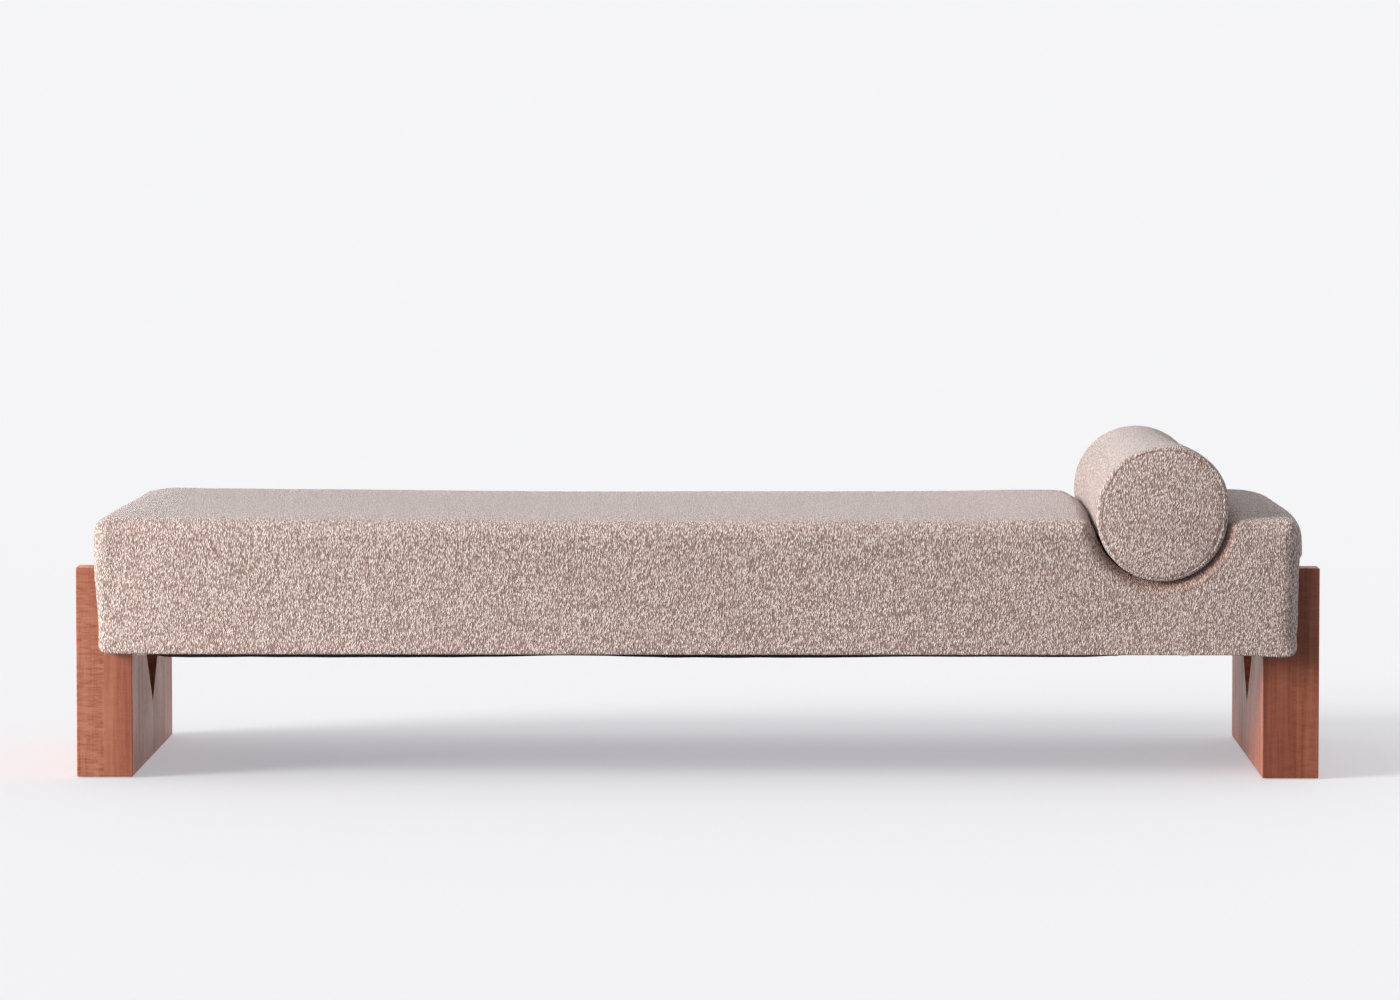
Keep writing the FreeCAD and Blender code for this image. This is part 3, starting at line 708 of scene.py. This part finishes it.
def boucle_material(name, seamed):
    """Looped boucle yarn: cream loops over mauve-brown pits, in short streaks along the warp. The colour
    follows the loops' height, so the pits' darkness is partly painted shade and the loop tops' cream
    partly painted highlight.
    """
    g = Graph(name)
    warp = g.stretched((1.0, 1.0 / LOOP_STRETCH, 1.0 / LOOP_STRETCH))
    loops = g.spread(g.cells(warp, 1 / LOOP_SIZE), 0.72, 0.10)
    curls = g.spread(g.cells(warp, 1 / (0.55 * LOOP_SIZE)), 0.75, 0.10)
    fibres = g.noise(warp, 480.0, detail=2.0, roughness=0.6)
    shades = g.noise(warp, 260.0, detail=1.0)

    height = g.math("ADD", g.math("MULTIPLY", loops, 0.58), g.math("MULTIPLY", curls, 0.26))
    height = g.math("ADD", height, g.math("MULTIPLY", g.math("SUBTRACT", fibres, 0.42), 0.80))
    light = g.math("ADD", height, g.math("MULTIPLY", g.math("SUBTRACT", shades, 0.5), 0.30))

    # the ramp follows the relief's height: the yarn's cream and mauve, with painted shade in the pits and
    # painted highlight on the loop tops
    yarn = g.ramp(light, [
        (0.08, (0.250, 0.172, 0.152)),
        (0.28, (0.470, 0.362, 0.330)),
        (0.48, (0.630, 0.512, 0.474)),
        (0.68, (0.760, 0.658, 0.616)),
        (0.92, (0.900, 0.835, 0.795)),
    ])
    rosy = g.spread(g.noise(g.place, 140.0, detail=2.0), 0.50, 0.72, 0.0, 0.40)
    toned = g.mix(rosy, yarn, (0.92, 0.76, 0.74, 1.0), how="MULTIPLY")
    matted = g.spread(g.noise(warp, 110.0, detail=2.0), 0.42, 0.66, 0.0, 0.15)
    toned = g.mix(matted, toned, (0.84, 0.82, 0.82, 1.0), how="MULTIPLY")
    if not seamed:
        # painted shade round the saddle, where the cover closes round the bolster
        painted_saddle_shade = g.node("ShaderNodeAttribute", attribute_name="painted_saddle_shade").outputs["Fac"]
        toned = g.mix(painted_saddle_shade, toned, (0.78, 0.60, 0.54, 1.0), how="MULTIPLY")

    if seamed:
        to_seam = g.node("ShaderNodeAttribute", attribute_name="off_seam").outputs["Fac"]
        off_seam = g.math("ABSOLUTE", to_seam)
        # painted shadow: a thin dark line along the seam's groove, standing in for the shade in the
        # stitches
        painted_seam_shadow = g.spread(off_seam, 0.0013, 0.0003)
        toned = g.mix(g.math("MULTIPLY", painted_seam_shadow, 0.55), toned, (0.16, 0.10, 0.085, 1.0))

    g.bump(height, 1.0, 0.0024)
    return g.finish(
        toned, Roughness=0.95, Specular_IOR_Level=0.12,
        Sheen_Weight=0.58, Sheen_Roughness=0.42, Sheen_Tint=(0.95, 0.95, 1.0, 1.0),
    )


# each wood's dark, middle and light tone
CHERRY = ((0.225, 0.058, 0.032), (0.495, 0.155, 0.087), (0.720, 0.292, 0.176))
PINE = ((0.400, 0.250, 0.120), (0.620, 0.440, 0.250), (0.760, 0.600, 0.400))
BIRCH = ((0.480, 0.340, 0.200), (0.680, 0.520, 0.340), (0.780, 0.650, 0.470))


def wood_material(name, seed, tone, figure, palette, gloss=0.42):
    """Hardwood with upright grain: fine dark pores, broad bands, a cross ripple where it has figure."""
    g = Graph(name)
    shift = g.node("ShaderNodeVectorMath", operation="ADD")
    g.feed(shift.inputs[0], g.place)
    shift.inputs[1].default_value = (seed * 1.37, seed * 0.71, seed * 0.53)
    g.place, at_home = shift.outputs[0], g.place

    bands = g.noise(g.stretched((26.0, 26.0, 1.6)), 1.0, detail=3.0, roughness=0.55, distortion=0.6)
    lines = g.noise(g.stretched((170.0, 170.0, 5.0)), 1.0, detail=4.0, roughness=0.6)
    pores = g.noise(g.stretched((900.0, 900.0, 42.0)), 1.0, detail=2.0, roughness=0.5)
    ripple = g.noise(g.stretched((30.0, 30.0, 165.0)), 1.0, detail=3.0, roughness=0.62, distortion=1.0)
    mottle = g.noise(g.stretched((9.0, 9.0, 7.0)), 1.0, detail=2.0)

    value = g.math("ADD", g.math("MULTIPLY", bands, 0.75), g.math("MULTIPLY", lines, 0.60))
    value = g.math("ADD", value, g.math("MULTIPLY", g.math("SUBTRACT", ripple, 0.5), 1.5 * figure))
    value = g.math("ADD", value, g.math("MULTIPLY", g.math("SUBTRACT", mottle, 0.5), 0.2 + 0.4 * figure))
    value = g.math("ADD", value, tone - 0.25)
    dark, middle, light = palette
    grain = g.ramp(value, [(0.20, dark), (0.48, middle), (0.78, light)])
    pore = g.spread(pores, 0.40, 0.26)
    grain = g.mix(g.math("MULTIPLY", pore, 0.55), grain, (*[c * 0.42 for c in dark], 1.0))

    g.place = at_home
    x, y, _ = g.split()
    to_board = g.math("ABSOLUTE", g.math("SUBTRACT", g.math("ABSOLUTE", x), WALL_INNER_FACE))
    share = g.math("DIVIDE", y, STAVE_WIDTH)
    off_joint = g.math("SUBTRACT", share, g.math("ROUND", share))
    to_stave = g.math("MULTIPLY", g.math("ABSOLUTE", off_joint), STAVE_WIDTH)
    joint = g.spread(g.math("MINIMUM", to_board, to_stave), 0.0007, 0.0002)
    grain = g.mix(g.math("MULTIPLY", joint, 0.55), grain, (*[c * 0.35 for c in dark], 1.0))

    relief = g.math("SUBTRACT", lines, g.math("ADD", g.math("MULTIPLY", pore, 0.8), joint))
    g.bump(relief, 0.22, 0.0004)
    sheen = g.spread(mottle, 0.3, 0.7, gloss - 0.05, gloss + 0.07)
    return g.finish(grain, Roughness=sheen, Specular_IOR_Level=0.28)


def dust_material():
    """Black spun-bonded cloth, with the faint grid of its bonding points."""
    g = Graph("dust_cloth_black")
    fibres = g.noise(g.place, 900.0, detail=3.0, roughness=0.7)
    points = g.cells(g.place, 420.0)
    value = g.math("ADD", g.math("MULTIPLY", fibres, 0.6), g.math("MULTIPLY", points, 0.4))
    colour = g.ramp(value, [(0.25, (0.020, 0.017, 0.018)), (0.75, (0.070, 0.060, 0.062))])
    g.bump(value, 0.4, 0.0004)
    return g.finish(colour, Roughness=0.9, Specular_IOR_Level=0.2, Sheen_Weight=0.1)


def foam_material():
    g = Graph("foam_cream")
    pits = g.cells(g.place, 700.0)
    colour = g.ramp(pits, [(0.1, (0.62, 0.55, 0.38)), (0.6, (0.86, 0.80, 0.64))])
    g.bump(pits, 0.5, 0.0008)
    return g.finish(colour, Roughness=0.95, Specular_IOR_Level=0.1)


def metal_material(name, dark, light, roughness):
    g = Graph(name)
    brushed = g.noise(g.stretched((900.0, 900.0, 120.0)), 1.0, detail=3.0)
    stains = g.noise(g.place, 130.0, detail=3.0)
    colour = g.ramp(g.math("ADD", g.math("MULTIPLY", brushed, 0.6), g.math("MULTIPLY", stains, 0.4)),
                    [(0.3, dark), (0.7, light)])
    g.bump(brushed, 0.2, 0.0001)
    rough = g.spread(stains, 0.3, 0.7, roughness - 0.08, roughness + 0.12)
    return g.finish(colour, Metallic=1.0, Roughness=rough)


def nylon_material():
    g = Graph("glide_nylon_brown")
    grain = g.noise(g.place, 800.0, detail=2.0)
    scuffs = g.noise(g.stretched((60.0, 300.0, 60.0)), 1.0, detail=4.0)
    colour = g.ramp(scuffs, [(0.35, (0.055, 0.032, 0.022)), (0.70, (0.120, 0.080, 0.060))])
    g.bump(grain, 0.2, 0.0001)
    return g.finish(colour, Roughness=g.spread(scuffs, 0.3, 0.7, 0.45, 0.65))


def zip_tape_material():
    """Woven tape, with the spiral coil's turns down its middle."""
    g = Graph("zip_tape_mauve")
    x, y, _ = g.split()
    off_middle = g.math("ABSOLUTE", g.math("SUBTRACT", x, BOLSTER_X))
    coil = g.spread(off_middle, 0.0024, 0.0019)
    turns = g.math("SINE", g.math("MULTIPLY", y, 2 * math.pi / 0.0014))
    weave = g.math("MULTIPLY", g.math("SINE", g.math("MULTIPLY", y, 2 * math.pi / 0.0009)),
                   g.math("SINE", g.math("MULTIPLY", x, 2 * math.pi / 0.0009)))
    cloth = g.ramp(weave, [(0.0, (0.20, 0.150, 0.135)), (0.6, (0.33, 0.26, 0.235))])
    plastic = g.ramp(turns, [(0.0, (0.17, 0.125, 0.112)), (0.8, (0.36, 0.29, 0.265))])
    g.bump(g.blend(weave, turns, coil), 0.6, 0.0004)
    return g.finish(g.mix(coil, cloth, plastic), Roughness=g.blend(0.9, 0.45, coil))


def dress_nodes():
    """Gives every CAD node that stays its own finish."""
    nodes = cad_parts

    def dress(names, material):
        for name in names:
            mesh = nodes[name].data
            mesh.materials.clear()
            mesh.materials.append(material)

    number = 0
    # the left leg's boards have a lighter base tone than the right leg's: partly the wood's own tone,
    # partly painted light standing in for the stronger light from the left
    boards = (
        ("left", "outer", 0.12, 0.8), ("left", "inner", 0.17, 0.15),
        ("right", "outer", -0.01, 0.25), ("right", "inner", -0.04, 0.15),
    )
    for side, board, base, figure in boards:
        for stave in range(1, 5):
            number += 1
            tone = base + 0.05 * math.sin(number * 2.4)
            name = f"{side}_leg_{board}_stave_{stave}"
            dress([name], wood_material(f"cherry_{name}", number, tone, figure, CHERRY))

    frame_parts = [n for n in nodes if n.startswith("seat_frame")]
    dress(frame_parts, wood_material("pine_frame", 31, 0.0, 0.0, PINE, gloss=0.7))
    dress(["deck_panel"], wood_material("birch_plywood", 37, 0.0, 0.1, BIRCH, gloss=0.6))
    steel = metal_material("zinc_steel", (0.42, 0.43, 0.45), (0.66, 0.67, 0.70), 0.35)
    dress([n for n in nodes if n.endswith(("_bolts", "_washers", "_inserts"))], steel)
    dress(["dust_cover_staples"], steel)
    dress([n for n in nodes if n.endswith("_glides")], nylon_material())
    dress(["bolster_zip_tape"], zip_tape_material())
    bronze = metal_material("zip_bronze", (0.15, 0.11, 0.09), (0.32, 0.25, 0.21), 0.4)
    dress(["bolster_zip_slider"], bronze)
    dress(["seat_foam", "bolster_core"], foam_material())


# ---- floor, light and camera ----

BLACK = (0.0, 0.0, 0.0, 1.0)
BACKDROP_WHITE = (0.913, 0.913, 0.930)
FLOOR_GLOW = (0.384, 0.372, 0.398)     # the floor is a sheet lit from below as well as from above
FLOOR_GREY = (0.480, 0.496, 0.500)
FLOOR_BOUNCE = 0.42                    # how much of its light reaches the daybed
FLOOR_SIZE = 60.0                      # half its width
FADE_FROM, FADE_TO = 2.2, 7.0          # how far out the floor turns into the backdrop


def make_floor():
    """A pale floor that takes the daybed's shadow and fades into the backdrop further out."""
    size = FLOOR_SIZE
    corners = [(-size, -size, 0), (size, -size, 0), (size, size, 0), (-size, size, 0)]
    floor = make_object("floor", corners, [(0, 1, 2, 3)])
    g = Graph("floor_pale")
    x, y, _ = g.split()
    far = g.math("SQRT", g.math("ADD", g.math("MULTIPLY", x, x), g.math("MULTIPLY", y, y)))
    speckle = g.noise(g.place, 90.0, detail=3.0)
    share = g.blend(1.0, FLOOR_BOUNCE, g.node("ShaderNodeLightPath").outputs["Is Diffuse Ray"])
    grey = g.mix(g.spread(speckle, 0.3, 0.7, 0.0, 0.03), (*FLOOR_GREY, 1.0), (0.52, 0.52, 0.53, 1.0))
    g.finish(g.mix(share, BLACK, grey), Roughness=0.8, Specular_IOR_Level=0.1)
    g.feed(g.shader.inputs["Emission Color"], g.mix(share, BLACK, (*FLOOR_GLOW, 1.0)))
    g.shader.inputs["Emission Strength"].default_value = 1.0
    backdrop = g.node("ShaderNodeEmission")
    g.feed(backdrop.inputs["Color"], g.mix(share, BLACK, (*BACKDROP_WHITE, 1.0)))
    blend = g.node("ShaderNodeMixShader")
    g.feed(blend.inputs[0], g.spread(far, FADE_FROM, FADE_TO))
    g.feed(blend.inputs[1], g.shader.outputs[0])
    g.feed(blend.inputs[2], backdrop.outputs[0])
    g.feed(g.tree.nodes["Material Output"].inputs["Surface"], blend.outputs[0])
    floor.data.materials.append(g.material)
    return floor


FRONT_LIGHT, BACK_LIGHT, TOP_LIGHT = 0.30, 0.94, 0.62
LEFT_LIGHT = 0.20                      # added on the left
RIGHT_SHARE = 1.10                     # how much brighter the room is on the right


def make_world():
    """A white studio: a bright backdrop behind, a soft ceiling, and a darker wall in front."""
    world = bpy.data.worlds.new("studio")
    bpy.context.scene.world = world
    world.use_nodes = True
    g = Graph(tree=world.node_tree)
    x, y, z = g.split(g.node("ShaderNodeTexCoord").outputs["Generated"])
    behind = g.spread(y, -0.25, 0.35)
    room = g.blend(FRONT_LIGHT, BACK_LIGHT, behind)
    room = g.math("MULTIPLY", room, g.spread(x, 0.9, 0.0, RIGHT_SHARE, 1.0))
    room = g.math("ADD", room, g.spread(x, -0.3, -0.9, 0.0, LEFT_LIGHT))
    room = g.blend(room, TOP_LIGHT, g.spread(z, 0.35, 0.85))
    unseen = g.node("ShaderNodeBackground")
    unseen.inputs["Color"].default_value = (1.0, 0.995, 0.99, 1.0)
    g.feed(unseen.inputs["Strength"], room)
    seen = g.node("ShaderNodeBackground")
    seen.inputs["Color"].default_value = (*BACKDROP_WHITE, 1.0)
    blend = g.node("ShaderNodeMixShader")
    g.feed(blend.inputs[0], g.node("ShaderNodeLightPath").outputs["Is Camera Ray"])
    g.feed(blend.inputs[1], unseen.outputs[0])
    g.feed(blend.inputs[2], seen.outputs[0])
    g.feed(g.node("ShaderNodeOutputWorld").inputs["Surface"], blend.outputs[0])


KEY_FROM = (-0.85, -0.40, 0.34)        # the key light's direction, seen from the daybed
KEY_POWER = 3.75
KEY_SOFTNESS = 28.0                    # how wide it looks from the daybed, in degrees


def make_key():
    """One large soft light, far out on the left, that rakes along the front."""
    data = bpy.data.lights.new("key_left", "SUN")
    data.energy = KEY_POWER
    data.angle = math.radians(KEY_SOFTNESS)
    data.color = (1.0, 0.975, 0.945)
    light = bpy.data.objects.new("key_left", data)
    light.rotation_euler = Vector(KEY_FROM).to_track_quat("Z", "Y").to_euler()
    bpy.context.scene.collection.objects.link(light)


SIDE_POWER = 28.0
SIDE_PLACE = (-2.1, -2.0, 0.5)
SIDE_TARGET = (-0.9, -0.2, 0.25)


def make_side_light(floor):
    """A smaller soft light in front of the left end, kept off the floor."""
    data = bpy.data.lights.new("side_left", "AREA")
    data.shape = "RECTANGLE"
    data.size, data.size_y = 1.1, 1.0
    data.energy = SIDE_POWER
    data.color = (1.0, 0.96, 0.91)
    light = bpy.data.objects.new("side_left", data)
    light.location = SIDE_PLACE
    aim = Vector(SIDE_TARGET) - Vector(SIDE_PLACE)
    light.rotation_euler = aim.to_track_quat("-Z", "Y").to_euler()
    bpy.context.scene.collection.objects.link(light)
    unlit = bpy.data.collections.new("unlit_by_side_light")
    unlit.objects.link(floor)
    unlit.collection_objects[0].light_linking.link_state = "EXCLUDE"
    light.light_linking.receiver_collection = unlit


def make_flag():
    """A small black card inside the left notch, between the boards, so that no light shines through.

    No camera sees it."""
    x = -WALL_INNER_FACE
    slope = NOTCH_HALF_WIDTH / (WALL_TOP - NOTCH_ROOT)
    low, high = NOTCH_ROOT + 0.001, SEAT_BOTTOM
    reach = slope * (high - low)
    flag = make_object("flag", [(x, 0, low), (x, reach, high), (x, -reach, high)], [(0, 1, 2)])
    g = Graph("flag_black")
    flag.data.materials.append(g.finish((0.01, 0.01, 0.01, 1.0), Roughness=1.0))
    flag.visible_camera = False


def make_camera():
    """The photo's camera, worked out from the daybed's receding edges."""
    data = bpy.data.cameras.new("camera")
    data.sensor_width = 36.0
    data.lens = 156.7
    data.clip_end = 200.0
    camera = bpy.data.objects.new("camera", data)
    camera.location = (0.1224, -10.2486, 1.1198)
    camera.rotation_euler = (math.radians(90 - 3.824), 0.0, math.radians(0.678))
    bpy.context.scene.collection.objects.link(camera)
    bpy.context.scene.camera = camera


make_camera()
make_seat()
make_bolster()
make_dust_cover()
dress_nodes()
make_world()
make_key()
make_side_light(make_floor())
make_flag()
bpy.context.scene.view_settings.view_transform = "Standard"
